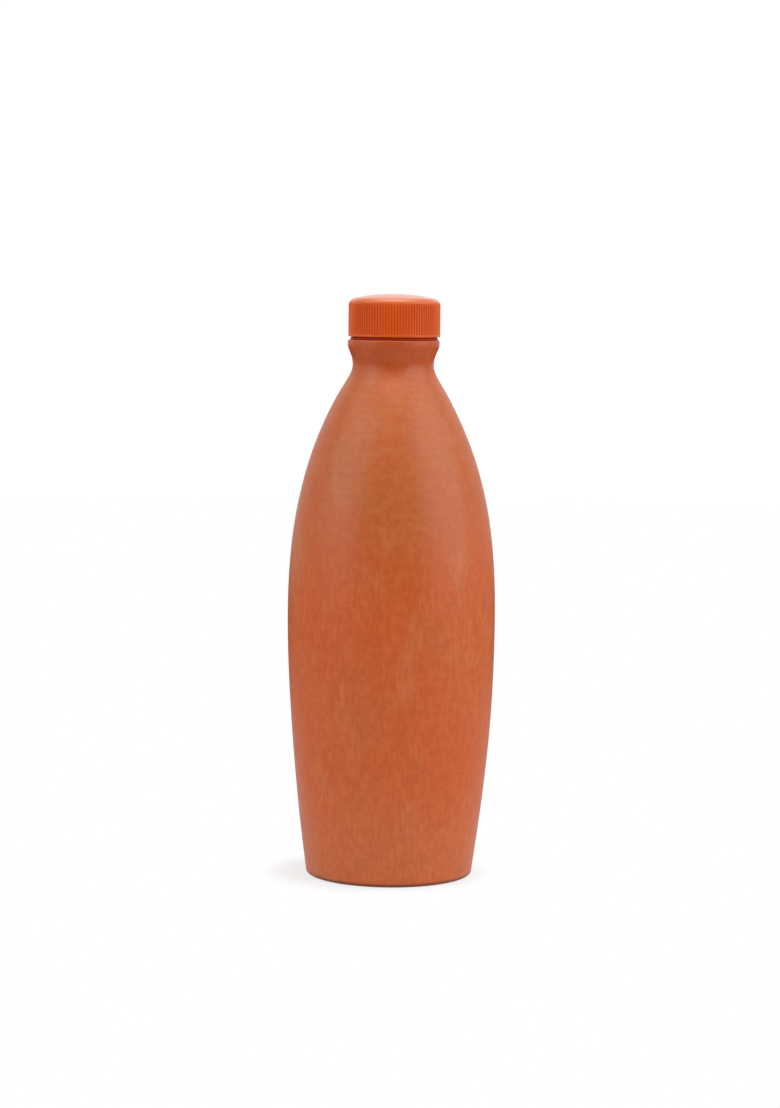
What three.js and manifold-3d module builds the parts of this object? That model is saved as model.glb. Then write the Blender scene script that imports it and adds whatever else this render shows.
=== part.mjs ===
// Terracotta water bottle with a plastic screw neck glued into its mouth and a ribbed screw cap.
// Millimetres, +Z up, origin at the centre of the base, the bottle's axis along Z.
import * as THREE from "three";
import { mergeVertices } from "three/addons/utils/BufferGeometryUtils.js";
import Module from "manifold-3d";

const wasm = await Module();
wasm.setup();

// Fits between pieces
const contactGap = 0.1; // between two pieces that rest against each other
const threadClearance = 0.35; // radial room between a thread's crest and the wall that faces it
const flankClearance = 0.3; // axial room under the neck thread, where the cap thread bears
const skirtGap = 0.3; // between the closed cap's skirt and the neck's flange
const linerClearance = 0.35; // radial room round the liner inside the cap

// Clay body
const bellyRadius = 50;
const bellyHeight = 125.5;
const footRadius = 40.2;
const footRounding = 2;
const lipHeight = 258;
const lipBand = 1.8; // upright band round the outside of the lip
const lipRounding = 0.8;
const throatDrop = 12; // from the top of the lip down to the narrowest ring
const throatCurve = 17; // from the narrowest ring down to the end of the shoulder
const throatWall = 3.8;
const throatFlare = 8.35; // how much wider the shoulder's end is than the narrowest ring
const shoulderSlope = 0.53; // radius lost per millimetre of height where the shoulder ends
const clayWall = 6.5;
const clayFloor = 8;
const floorRounding = 9; // inside corner between the floor and the wall

// Plastic neck, glued into the clay mouth
const pouringRadius = 13.2;
const spigotWall = 1.6;
const spigotLength = 17;
const spigotChamfer = 0.8;
const glueThickness = 0.7;
const glueSetback = 1.2; // the glue stops short of the spigot's lower end and of the lip
const boreRunout = 1.5; // straight clay bore below the spigot
const flangeThickness = 1;
const flangeSetback = 0.65; // how far the flange's edge lies inside the skirt's groove floor
const neckStep = 3.55; // how much wider the threaded neck is than the spigot
const neckWall = 1.9;
const rimRounding = 0.6;
const funnelHeight = 3.5; // cone between the neck's bore and the spigot's bore

// Thread shared by the neck and the cap
const threadPitch = 4.2;
const threadTurns = 1.6;
const threadDepth = 1.25;
const threadRootShare = 0.52; // share of the pitch that the thread takes at its root
const threadCrestShare = 0.21; // share of the pitch that the thread takes at its crest
const threadBite = 0.3; // how deep a thread's root is buried in the wall that carries it
const threadFootInset = 5.2; // from the flange up to the thread's lower end
const threadTopInset = 3; // from the sealing rim down to the thread's upper end
const threadRunout = 0.07; // share of a turn over which a thread's end fades into its wall

// Screw cap and its liner
const capWall = 1.6;
const ribCount = 100;
const ribDepth = 0.45;
const ribFade = 0.5; // height over which a groove's end runs out
const gripBandInset = 0.7; // plain ring left below the grooves
const crownRounding = 4;
const crownRise = 1.9; // height of the domed top above its rounded edge
const crownWall = 1.8;
const linerThickness = 2;
const linerBeadDepth = 0.6; // bead inside the cap that keeps the liner from dropping out
const linerBeadHeight = 1.1;

// Fullness of the free curves: share of the height or radius that a curve's handle takes
const flankFullness = 0.55;
const bellyFullness = 0.386;
const shoulderFullness = 0.31;
const throatLead = 0.5;
const throatTuck = 0.26;
const lipLead = 0.5;
const lipTuck = 0.2;
const boreEase = 0.4;
const crownFullness = 0.6; // share of the crown's radius that its flat middle tends to

// Facets
const claySegments = 48;
const plasticSegments = 48;
const longCurveSteps = 7;
const cavityCurveSteps = 5;
const shortCurveSteps = 4;
const crownSteps = 3;
const roundingSteps = 2;
const cutOvershoot = 1; // how far a cutting solid reaches past the face that it opens
const mergeDistance = 1e-4; // points of one surface that lie this close are the same point

// Radii that follow, from the pouring bore outwards
const spigotRadius = pouringRadius + spigotWall;
const mouthRadius = spigotRadius + glueThickness + 2 * contactGap;
const throatRadius = mouthRadius + throatWall;
const neckRadius = spigotRadius + neckStep;
const neckBoreRadius = neckRadius - neckWall;
const neckThreadRadius = neckRadius + threadDepth;
const skirtBoreRadius = neckThreadRadius + threadClearance;
const capThreadRadius = neckRadius + threadClearance;
const grooveRadius = skirtBoreRadius + capWall;
const capRadius = grooveRadius + ribDepth;
const flangeRadius = grooveRadius - flangeSetback;
const linerRadius = skirtBoreRadius - linerClearance;
const lipRadius = capRadius; // the clay lip is flush with the cap
const shoulderRadius = throatRadius + throatFlare;

// Heights that follow, from the lip upwards and downwards
const throatHeight = lipHeight - throatDrop;
const shoulderHeight = throatHeight - throatCurve;
const spigotFoot = lipHeight - spigotLength;
const boreFoot = spigotFoot - boreRunout;
const flangeFoot = lipHeight + contactGap;
const flangeTop = flangeFoot + flangeThickness;
const threadFoot = flangeTop + threadFootInset;
const rimHeight = threadFoot + threadTurns * threadPitch + threadTopInset;
const linerFoot = rimHeight + contactGap;
const linerTop = linerFoot + linerThickness;
const skirtFoot = flangeTop + skirtGap;
const ceilingHeight = linerTop + contactGap;
const crownEdgeHeight = ceilingHeight + crownWall;
const crownTop = crownEdgeHeight + crownRise;
const gripTop = crownEdgeHeight - crownRounding;
const threadRootWidth = threadRootShare * threadPitch;
const threadCrestWidth = threadCrestShare * threadPitch;
const bearingOffset = (threadRootWidth + threadCrestWidth) / 2 + flankClearance;

const at = (radius, height) => new THREE.Vector2(radius, height);

// Points along a Bezier curve with three or four control points.
function curve(steps, ...control) {
  const Kind = control.length === 3 ? THREE.QuadraticBezierCurve : THREE.CubicBezierCurve;
  return new Kind(...control).getPoints(steps);
}

// Points along a circular arc, between two angles measured from the radial direction.
function arc(steps, centre, radius, fromAngle, toAngle) {
  const clockwise = toAngle < fromAngle;
  const circle = new THREE.EllipseCurve(centre.x, centre.y, radius, radius, fromAngle, toAngle, clockwise);
  return circle.getPoints(steps);
}

// One outline from several stretches, without the points where two stretches meet twice.
function outline(...stretches) {
  const points = stretches.flat();
  return points.filter((point, i) => i === 0 || point.distanceTo(points[i - 1]) > mergeDistance);
}

// Surface of revolution about Z.
function turned(profile, segments) {
  return new THREE.LatheGeometry(profile, segments).rotateX(Math.PI / 2);
}

// A ring-shaped profile closes on its own first point.
function turnedRing(profile, segments) {
  return turned([...profile, profile[0].clone()], segments);
}

// Closed geometry as a solid that can be joined and cut.
function solidOf(geometry) {
  const bare = new THREE.BufferGeometry().setAttribute("position", geometry.getAttribute("position"));
  bare.setIndex(geometry.getIndex());
  const merged = mergeVertices(bare, mergeDistance);
  return new wasm.Manifold(
    new wasm.Mesh({
      numProp: 3,
      vertProperties: merged.getAttribute("position").array,
      triVerts: new Uint32Array(merged.getIndex().array),
    }),
  );
}

function geometryOf(solid) {
  const mesh = solid.getMesh();
  const geometry = new THREE.BufferGeometry();
  geometry.setAttribute("position", new THREE.BufferAttribute(new Float32Array(mesh.vertProperties), 3));
  geometry.setIndex(new THREE.BufferAttribute(new Uint32Array(mesh.triVerts), 1));
  const flat = geometry.toNonIndexed();
  flat.computeVertexNormals();
  return flat;
}

// Helical ridge from a root radius to a crest radius, its ends fading into the wall at the root.
function threadRidge(rootRadius, crestRadius, foot) {
  const steps = Math.ceil(threadTurns * plasticSegments);
  const fadeSteps = threadRunout * plasticSegments;
  const buriedEnd = rootRadius + (Math.sign(crestRadius - rootRadius) * threadBite) / 2;
  const corners = 4;
  const positions = [];
  for (let step = 0; step <= steps; step++) {
    const turn = (threadTurns * step) / steps;
    const angle = 2 * Math.PI * turn;
    const fade = Math.min(1, step / fadeSteps, (steps - step) / fadeSteps);
    const crest = buriedEnd + (crestRadius - buriedEnd) * fade;
    const middle = foot + threadPitch * turn;
    const section = [
      at(rootRadius, middle - threadRootWidth / 2),
      at(crest, middle - threadCrestWidth / 2),
      at(crest, middle + threadCrestWidth / 2),
      at(rootRadius, middle + threadRootWidth / 2),
    ];
    section.forEach((p) => positions.push(p.x * Math.cos(angle), p.x * Math.sin(angle), p.y));
  }
  const triangles = [];
  for (let step = 0; step < steps; step++) {
    for (let corner = 0; corner < corners; corner++) {
      const a = step * corners + corner;
      const b = step * corners + ((corner + 1) % corners);
      triangles.push([a, a + corners, b], [b, a + corners, b + corners]);
    }
  }
  const last = steps * corners;
  triangles.push([0, 1, 2], [0, 2, 3], [last, last + 2, last + 1], [last, last + 3, last + 2]);
  const inward = crestRadius < rootRadius;
  const index = triangles.flatMap(([a, b, c]) => (inward ? [a, c, b] : [a, b, c]));
  const geometry = new THREE.BufferGeometry();
  geometry.setAttribute("position", new THREE.Float32BufferAttribute(positions, 3));
  return geometry.setIndex(index);
}

// Fired clay shell: flat foot, parabolic flank, full shoulder, narrow throat and an upright lip.
function clayBody() {
  const outerFoot = at(footRadius, footRounding);
  const belly = at(bellyRadius, bellyHeight);
  const shoulder = at(shoulderRadius, shoulderHeight);
  const throat = at(throatRadius, throatHeight);
  const lipFoot = at(lipRadius, lipHeight - lipRounding - lipBand);
  const flankRun = bellyHeight - footRounding;
  const shoulderRun = shoulderHeight - bellyHeight;
  const lipRun = lipFoot.y - throatHeight;
  const slopeHandle = (end, height) => at(end.x - shoulderSlope * height, end.y + height);
  const outside = outline(
    [at(0, 0)],
    arc(roundingSteps, at(footRadius - footRounding, footRounding), footRounding, -Math.PI / 2, 0),
    curve(longCurveSteps, outerFoot, at(bellyRadius, footRounding + flankFullness * flankRun), belly),
    curve(
      longCurveSteps,
      belly,
      at(bellyRadius, bellyHeight + bellyFullness * shoulderRun),
      slopeHandle(shoulder, -shoulderFullness * shoulderRun),
      shoulder,
    ),
    curve(
      shortCurveSteps,
      shoulder,
      slopeHandle(shoulder, throatLead * throatCurve),
      at(throatRadius, throatHeight - throatTuck * throatCurve),
      throat,
    ),
    curve(
      shortCurveSteps,
      throat,
      at(throatRadius, throatHeight + lipLead * lipRun),
      at(lipRadius, lipFoot.y - lipTuck * lipRun),
      lipFoot,
    ),
    arc(roundingSteps, at(lipRadius - lipRounding, lipHeight - lipRounding), lipRounding, 0, Math.PI / 2),
  );

  // The cavity keeps the wall's thickness along the flank and the shoulder, then meets the straight bore.
  const slant = Math.hypot(1, shoulderSlope);
  const innerBelly = at(bellyRadius - clayWall, bellyHeight);
  const innerShoulder = at(
    shoulderRadius - clayWall / slant,
    shoulderHeight - (clayWall * shoulderSlope) / slant,
  );
  const innerFlankRun = bellyHeight - clayFloor - floorRounding;
  const innerRun = innerShoulder.y - bellyHeight;
  const boreRun = boreFoot - innerShoulder.y;
  const floorCorner = at(footRadius - clayWall - floorRounding, clayFloor + floorRounding);
  const innerFoot = at(footRadius - clayWall, clayFloor + floorRounding);
  const inside = outline(
    [at(mouthRadius, lipHeight), at(mouthRadius, boreFoot)],
    curve(
      shortCurveSteps,
      at(mouthRadius, boreFoot),
      at(mouthRadius, boreFoot - boreEase * boreRun),
      slopeHandle(innerShoulder, boreEase * boreRun),
      innerShoulder,
    ),
    curve(
      cavityCurveSteps,
      innerShoulder,
      slopeHandle(innerShoulder, -shoulderFullness * innerRun),
      at(innerBelly.x, bellyHeight + bellyFullness * innerRun),
      innerBelly,
    ),
    curve(
      cavityCurveSteps,
      innerBelly,
      at(innerBelly.x, innerFoot.y + flankFullness * innerFlankRun),
      innerFoot,
    ),
    arc(shortCurveSteps, floorCorner, floorRounding, 0, -Math.PI / 2),
    [at(0, clayFloor)],
  );
  return turned([...outside, ...inside], claySegments);
}

// Moulded neck: a spigot for the clay mouth, a flange that sits on the lip and a threaded tube above it.
function screwNeck() {
  const profile = outline(
    [
      at(pouringRadius, spigotFoot),
      at(spigotRadius - spigotChamfer, spigotFoot),
      at(spigotRadius, spigotFoot + spigotChamfer),
      at(spigotRadius, flangeFoot),
      at(flangeRadius, flangeFoot),
      at(flangeRadius, flangeTop),
      at(neckRadius, flangeTop),
    ],
    arc(roundingSteps, at(neckRadius - rimRounding, rimHeight - rimRounding), rimRounding, 0, Math.PI / 2),
    [
      at(neckBoreRadius, rimHeight),
      at(neckBoreRadius, flangeTop),
      at(pouringRadius, flangeTop - funnelHeight),
    ],
  );
  const tube = solidOf(turnedRing(profile, plasticSegments));
  const ridge = solidOf(threadRidge(neckRadius - threadBite, neckThreadRadius, threadFoot));
  return geometryOf(tube.add(ridge));
}

// Set glue that holds the spigot in the clay mouth.
function glueRing() {
  const inner = spigotRadius + contactGap;
  const outer = mouthRadius - contactGap;
  const foot = spigotFoot + glueSetback;
  const top = lipHeight - glueSetback;
  return turnedRing([at(inner, foot), at(outer, foot), at(outer, top), at(inner, top)], plasticSegments);
}

// Outside of the cap: a grooved grip band under a rounded, slightly domed crown.
function capOutside() {
  const gripFoot = skirtFoot + gripBandInset;
  const grooveFoot = gripFoot + ribFade;
  const grooveTop = gripTop - ribFade;
  const crownEdge = at(capRadius - crownRounding, crownEdgeHeight);
  const below = [at(0, skirtFoot), at(capRadius, skirtFoot), at(capRadius, gripFoot)];
  const grooved = [at(capRadius, grooveFoot), at(capRadius, grooveTop)];
  const crown = outline(
    arc(crownSteps, at(crownEdge.x, gripTop), crownRounding, 0, Math.PI / 2),
    curve(crownSteps, crownEdge, at(crownFullness * crownEdge.x, crownTop), at(0, crownTop)),
  );
  const profile = [...below, ...grooved, ...crown];
  const geometry = turned(profile, 2 * ribCount);

  // Every second line of the grip band sinks to the floor of a groove.
  const position = geometry.getAttribute("position");
  const sunk = grooveRadius / capRadius;
  for (let line = 1; line < 2 * ribCount; line += 2) {
    for (let row = below.length; row < below.length + grooved.length; row++) {
      const vertex = line * profile.length + row;
      position.setXY(vertex, position.getX(vertex) * sunk, position.getY(vertex) * sunk);
    }
  }
  return geometry;
}

// Ribbed screw cap: a hollow shell with a thread and a bead that holds the liner.
function screwCap() {
  const beadTop = linerFoot - contactGap;
  const beadFoot = beadTop - linerBeadHeight;
  const hollow = turned(
    [
      at(0, skirtFoot - cutOvershoot),
      at(skirtBoreRadius, skirtFoot - cutOvershoot),
      at(skirtBoreRadius, beadFoot),
      at(skirtBoreRadius - linerBeadDepth, (beadFoot + beadTop) / 2),
      at(skirtBoreRadius, beadTop),
      at(skirtBoreRadius, ceilingHeight),
      at(0, ceilingHeight),
    ],
    plasticSegments,
  );
  const ridge = threadRidge(skirtBoreRadius + threadBite, capThreadRadius, threadFoot - bearingOffset);
  const shell = solidOf(capOutside()).subtract(solidOf(hollow));
  return geometryOf(shell.add(solidOf(ridge)));
}

// Soft sealing disc between the cap's ceiling and the neck's rim.
function capLiner() {
  const profile = [at(0, linerFoot), at(linerRadius, linerFoot), at(linerRadius, linerTop), at(0, linerTop)];
  return turned(profile, plasticSegments);
}

const terracotta = new THREE.MeshStandardMaterial({ color: 0xbe6238, roughness: 0.62, metalness: 0 });
const orangePlastic = new THREE.MeshStandardMaterial({ color: 0xc8501f, roughness: 0.4, metalness: 0 });
const neckPlastic = new THREE.MeshStandardMaterial({ color: 0xc24a1c, roughness: 0.45, metalness: 0 });
const setGlue = new THREE.MeshStandardMaterial({ color: 0xd9cdb4, roughness: 0.5, metalness: 0 });
const whiteFoam = new THREE.MeshStandardMaterial({ color: 0xefece4, roughness: 0.85, metalness: 0 });

function piece(name, geometry, material) {
  const mesh = new THREE.Mesh(geometry, material);
  mesh.name = name;
  return mesh;
}

const bottle = new THREE.Group();
bottle.name = "bottle";
bottle.add(
  piece("clay_body", clayBody(), terracotta),
  piece("screw_neck", screwNeck(), neckPlastic),
  piece("neck_glue_ring", glueRing(), setGlue),
);

const closure = new THREE.Group();
closure.name = "closure";
closure.add(piece("screw_cap", screwCap(), orangePlastic), piece("cap_liner", capLiner(), whiteFoam));

const clayWaterBottle = new THREE.Group();
clayWaterBottle.name = "clay_water_bottle";
clayWaterBottle.add(bottle, closure);

export default clayWaterBottle;
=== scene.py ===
"""Looks of a terracotta water bottle with a plastic screw neck and a ribbed screw cap.

Every length is in metres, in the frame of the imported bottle: +Z up along the bottle's axis, with the
origin at the centre of the base.
"""
import logging
import math
from abc import ABC, abstractmethod
from dataclasses import dataclass, field
from enum import Enum
from typing import Callable, NamedTuple

import bmesh
import bpy
from mathutils import Color, Matrix, Vector, noise
from mathutils.geometry import interpolate_bezier


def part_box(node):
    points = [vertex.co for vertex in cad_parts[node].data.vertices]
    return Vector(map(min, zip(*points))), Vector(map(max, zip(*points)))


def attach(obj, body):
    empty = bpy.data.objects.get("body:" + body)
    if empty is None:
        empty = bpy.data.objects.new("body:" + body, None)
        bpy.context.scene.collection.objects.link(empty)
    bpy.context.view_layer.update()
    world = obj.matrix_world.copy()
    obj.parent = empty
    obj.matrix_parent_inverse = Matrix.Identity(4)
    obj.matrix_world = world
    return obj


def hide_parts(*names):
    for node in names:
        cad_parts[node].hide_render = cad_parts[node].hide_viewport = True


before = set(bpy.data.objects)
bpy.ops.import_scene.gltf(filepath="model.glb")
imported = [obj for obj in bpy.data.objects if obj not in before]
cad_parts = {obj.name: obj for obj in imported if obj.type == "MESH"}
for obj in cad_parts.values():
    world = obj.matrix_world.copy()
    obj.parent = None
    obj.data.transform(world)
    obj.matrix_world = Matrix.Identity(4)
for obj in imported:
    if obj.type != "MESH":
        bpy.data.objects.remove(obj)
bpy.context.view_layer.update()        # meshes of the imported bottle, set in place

log = logging.getLogger("clay_bottle")

MM = 0.001
WELD = 1e-6                         # points this near are one point
SECTORS = 10                        # equal slices that a turned piece is spun in
ARC_HANDLE = 0.5523                 # share of a corner at which handles give a quarter circle
PARABOLA_HANDLE = 2 / 3             # share of a corner at which handles give a parabola
WAVE_WIDTH = math.tau / 20          # width of one band of the wave texture at a scale of 1
FULL_CHANNEL = 255
WHITE = (1.0, 1.0, 1.0, 1.0)

Point = tuple[float, float]
Span = tuple[float, float]                      # low and high end
Triple = tuple[float, float, float]
Ramp = tuple[float, float, float, float]        # low and high end of what is read, and the results there
Colour = tuple[float, float, float, float]
Socket = bpy.types.NodeSocket


class Skin(Enum):
    """Which side of a turned wall a point lies on."""

    INSIDE = 0.0
    OUTSIDE = 1.0


class Side(Enum):
    """Side of the bottle that a soft box stands on, seen from the camera."""

    LEFT = -1
    RIGHT = 1


class Spot(NamedTuple):
    """Point of a turned mesh in round coordinates, and its skin: 1 on the outside, 0 on the inside."""

    radius: float
    angle: float
    height: float
    skin: float


Mover = Callable[[Spot], Triple]


def srgb(red: int, green: int, blue: int) -> Colour:
    """Turns a display colour into the linear colour that a shader takes.

    Args:
        red: Red from 0 to 255.
        green: Green from 0 to 255.
        blue: Blue from 0 to 255.

    Returns:
        The linear colour with full alpha.
    """
    shares = [channel / FULL_CHANNEL for channel in (red, green, blue)]
    return (*Color(shares).from_srgb_to_scene_linear(), 1.0)


def ease(value: float, low: float, high: float) -> float:
    """Rises smoothly from 0 at low to 1 at high.

    Args:
        value: Where to read the ramp.
        low: Value at which the ramp is 0.
        high: Value at which the ramp is 1, which may be less than low.

    Returns:
        The ramp's height, from 0 to 1.
    """
    share = min(1.0, max(0.0, (value - low) / (high - low)))
    return share * share * (3 - 2 * share)


@dataclass(frozen=True)
class Grain:
    """Noise with patches about one size across, and longer along an axis whose stretch is below 1."""

    size: float
    detail: float = 2.0
    rough: float = 0.5
    stretch: Triple = (1, 1, 1)


class NodeSheet:
    """Node tree of one material or of the world, with short ways to add nodes."""

    def __init__(self, owner: bpy.types.Material | bpy.types.World) -> None:
        """Empties the owner's node tree.

        Args:
            owner: Material or world whose nodes are written.
        """
        owner.use_nodes = True
        self.owner = owner
        self.tree = owner.node_tree
        self.tree.nodes.clear()

    @classmethod
    def for_material(cls, name: str) -> "NodeSheet":
        """Starts the sheet of a new material of that name."""
        return cls(bpy.data.materials.new(name))

    def add(self, kind: str, inputs: dict | None = None, **settings: object) -> bpy.types.Node:
        """Adds a node.

        Args:
            kind: Node type without its ShaderNode prefix.
            inputs: Socket name or index to a value, or to the socket that feeds it.
            settings: Properties of the node.

        Returns:
            The new node.
        """
        node = self.tree.nodes.new("ShaderNode" + kind)
        for name, value in settings.items():
            setattr(node, name, value)
        for name, value in (inputs or {}).items():
            if isinstance(value, Socket):
                self.tree.links.new(value, node.inputs[name])
            else:
                node.inputs[name].default_value = value
        return node

    def place(self, stretch: Triple = (1, 1, 1)) -> Socket:
        """Gives object coordinates.

        Args:
            stretch: Stretch along each axis.

        Returns:
            The socket of the stretched coordinates.
        """
        coordinates = self.add("TexCoord").outputs["Object"]
        return self.add("Mapping", {"Vector": coordinates, "Scale": stretch}).outputs["Vector"]

    def height(self) -> Socket:
        """Height above the base at each point."""
        return self.add("SeparateXYZ", {"Vector": self.place()}).outputs["Z"]

    def grain(self, grain: Grain) -> Socket:
        """Adds noise.

        Args:
            grain: Size and look of the noise.

        Returns:
            The noise, from 0 to 1.
        """
        inputs = {
            "Vector": self.place(grain.stretch),
            "Scale": 1 / grain.size,
            "Detail": grain.detail,
            "Roughness": grain.rough,
        }
        return self.add("TexNoise", inputs).outputs["Fac"]

    def spread(
        self, value: Socket, low: float, high: float, first: float = 0.0, last: float = 1.0
    ) -> Socket:
        """Maps a value from one range to another, smoothly and within bounds.

        Args:
            value: Socket to map.
            low: Value that gives first.
            high: Value that gives last.
            first: Result at low.
            last: Result at high.

        Returns:
            The mapped socket.
        """
        inputs = {"Value": value, "From Min": low, "From Max": high, "To Min": first, "To Max": last}
        return self.add("MapRange", inputs, interpolation_type="SMOOTHSTEP").outputs["Result"]

    def combine(self, operation: str, first: Socket, *others: float | Socket) -> Socket:
        """Combines numbers, one after the other.

        Args:
            operation: Name of the math node's operation.
            first: Number to start from.
            others: Numbers or sockets to take in.

        Returns:
            The result's socket.
        """
        result = first
        for other in others:
            result = self.add("Math", {0: result, 1: other}, operation=operation).outputs[0]
        return result

    def blend(
        self, share: float | Socket, first: Colour | Socket, second: Colour | Socket, mode: str = "MIX"
    ) -> Socket:
        """Mixes two colours.

        Args:
            share: How much of the second colour shows.
            first: Colour or socket below.
            second: Colour or socket above.
            mode: Blend mode.

        Returns:
            The mixed colour's socket.
        """
        node = self.add("Mix", {0: share, 6: first, 7: second}, data_type="RGBA", blend_type=mode)
        return node.outputs[2]

    def relief(self, height: Socket, depth: float, strength: float) -> Socket:
        """Bends the surface normal by a height.

        Args:
            height: Height from 0 to 1.
            depth: Depth that a height of 1 stands for.
            strength: Share of the effect.

        Returns:
            The normal's socket.
        """
        inputs = {"Height": height, "Distance": depth, "Strength": strength}
        return self.add("Bump", inputs).outputs["Normal"]

    def seen(self) -> Socket:
        """Tells rays that show the surround itself from rays that only light things.

        Returns:
            Share that is 1 for rays that show the surround, and else 0.
        """
        path = self.add("LightPath").outputs
        rays = [path[f"Is {kind} Ray"] for kind in ("Camera", "Glossy", "Transmission")]
        return self.combine("MAXIMUM", *rays)

    def surface(self, inputs: dict) -> bpy.types.Material:
        """Ends the sheet with a surface shader.

        Args:
            inputs: Sockets and values of the shader.

        Returns:
            The finished material.
        """
        shader = self.add("BsdfPrincipled", inputs)
        self.add("OutputMaterial", {"Surface": shader.outputs[0]})
        return self.owner


@dataclass(frozen=True)
class Terracotta:
    """Burnished low-fired clay: warm blotches, upright burnishing strokes, throwing rings and pale grit."""

    umber: Colour = srgb(184, 91, 38)
    orange: Colour = srgb(190, 83, 27)
    rose: Colour = srgb(190, 98, 51)
    # darker, more saturated clay colour for the throat and the lip
    darker_neck: Colour = srgb(172, 68, 10)
    burnt: Colour = (0.92, 0.87, 0.8, 1.0)
    bleached: Colour = (1.08, 1.13, 1.2, 1.0)
    # painted shade: a multiplier that lowers the red of the shoulder, where the lamps above light the clay
    # more
    dull: Colour = (0.86, 1.0, 1.03, 1.0)
    grit: Colour = srgb(214, 150, 116)
    blotch: Grain = Grain(42 * MM, detail=3.0, stretch=(1, 1, 0.6))
    drift: Grain = Grain(16 * MM, detail=3.0, rough=0.55, stretch=(1, 1, 0.45))
    mottle: Grain = Grain(3.6 * MM, detail=4.0, rough=0.62)
    stroke: Grain = Grain(1.3 * MM, stretch=(1, 1, 0.17))
    pore: Grain = Grain(0.35 * MM, rough=0.6)
    umber_blotches: Ramp = (0.56, 0.38, 0.0, 0.55)
    umber_mottles: Ramp = (0.5, 0.68, 0.0, 0.45)
    rose_drifts: Ramp = (0.5, 0.72, 0.0, 0.75)
    rose_heights: Ramp = (60 * MM, 12 * MM, 0.0, 0.7)
    painted_shoulder_shade_heights: Span = (125 * MM, 195 * MM)
    darker_neck_heights: Ramp = (237 * MM, 247 * MM, 0.0, 0.8)
    # painted shade: darkens the foot's lowest 2.4 mm, most at its bottom edge, where it meets the floor
    painted_foot_shade_heights: Ramp = (2.4 * MM, 0.96 * MM, 1.0, 0.4)
    speck_tone: Ramp = (0.3, 0.7, -0.5, 0.5)
    stroke_tone: Ramp = (0.32, 0.68, -0.65, 0.65)
    stroke_patches: Ramp = (0.35, 0.6, 0.25, 1.0)
    ring_tone: Ramp = (0.0, 1.0, -0.22, 0.22)
    ring_patches: Ramp = (0.38, 0.62, 0.2, 1.0)
    tone_range: Span = (-1.0, 1.0)
    ring_heights: Span = (140 * MM, 190 * MM)
    ring_spacing: float = 3.2 * MM
    ring_wander: float = 2.2
    ring_detail: float = 2.0
    ring_fineness: float = 0.6
    grit_spacing: float = 9 * MM
    grit_edge: Span = (0.045, 0.0225)
    grit_choice: Ramp = (0.55, 0.62, 0.0, 0.55)
    roughness: Ramp = (0.3, 0.7, 0.34, 0.42)
    stroke_gloss: float = 0.05
    specular: float = 0.42
    pore_share: float = 0.6
    relief_depth: float = 0.05 * MM
    relief_strength: float = 0.35

    def material(self) -> bpy.types.Material:
        """Writes the clay's node material.

        Returns:
            The finished material.
        """
        sheet = NodeSheet.for_material("burnished_terracotta")
        height = sheet.height()
        blotch = sheet.grain(self.blotch)
        drift = sheet.grain(self.drift)
        mottle = sheet.grain(self.mottle)
        stroke = sheet.grain(self.stroke)
        shoulder = sheet.spread(height, *self.ring_heights)
        belly = sheet.spread(height, *reversed(self.ring_heights))

        blotches = sheet.spread(blotch, *self.umber_blotches)
        browned = sheet.combine("ADD", blotches, sheet.spread(mottle, *self.umber_mottles))
        clay = sheet.blend(browned, self.orange, self.umber)
        clay = sheet.blend(sheet.spread(drift, *self.rose_drifts), clay, self.rose)
        clay = sheet.blend(sheet.spread(height, *self.rose_heights), clay, self.rose)
        # Painted shade: the shoulder's red is lowered towards the top, to offset the stronger light from
        # above.
        painted_shoulder_shade = sheet.blend(1.0, clay, self.dull, "MULTIPLY")
        clay = sheet.blend(sheet.spread(height, *self.painted_shoulder_shade_heights), clay, painted_shoulder_shade)
        # Darker, more saturated clay colour from the throat up to the lip.
        clay = sheet.blend(sheet.spread(height, *self.darker_neck_heights), clay, self.darker_neck)

        stroked = sheet.combine("MULTIPLY", belly, sheet.spread(drift, *self.stroke_patches))
        strokes = sheet.combine("MULTIPLY", sheet.spread(stroke, *self.stroke_tone), stroked)
        ringed = sheet.combine("MULTIPLY", shoulder, sheet.spread(drift, *self.ring_patches))
        rings = sheet.combine("MULTIPLY", sheet.spread(self._rings(sheet), *self.ring_tone), ringed)
        marks = sheet.combine("ADD", strokes, rings, sheet.spread(mottle, *self.speck_tone))
        tone = sheet.blend(sheet.spread(marks, *self.tone_range), self.burnt, self.bleached)
        clay = sheet.blend(1.0, clay, tone, "MULTIPLY")
        clay = sheet.blend(self._grit(sheet), clay, self.grit)
        # Painted shade along the foot's bottom edge, where it meets the floor.
        clay = sheet.blend(1.0, clay, sheet.spread(height, *self.painted_foot_shade_heights), "MULTIPLY")

        glossed = sheet.combine("MULTIPLY", strokes, self.stroke_gloss)
        rough = sheet.combine("SUBTRACT", sheet.spread(mottle, *self.roughness), glossed)
        pores = sheet.combine("MULTIPLY", sheet.grain(self.pore), self.pore_share)
        raised = sheet.combine("ADD", sheet.combine("MULTIPLY", stroke, stroked), pores)
        return sheet.surface({
            "Base Color": clay,
            "Roughness": rough,
            "Specular IOR Level": self.specular,
            "Normal": sheet.relief(raised, self.relief_depth, self.relief_strength),
        })

    def _rings(self, sheet: NodeSheet) -> Socket:
        """Level bands left by the thrower's fingers.

        Args:
            sheet: Sheet of the clay.

        Returns:
            The bands, from 0 to 1.
        """
        inputs = {
            "Vector": sheet.place(),
            "Scale": WAVE_WIDTH / self.ring_spacing,
            "Distortion": self.ring_wander,
            "Detail": self.ring_detail,
            "Detail Scale": self.ring_fineness,
        }
        return sheet.add("TexWave", inputs, wave_type="BANDS", bands_direction="Z").outputs["Fac"]

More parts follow.
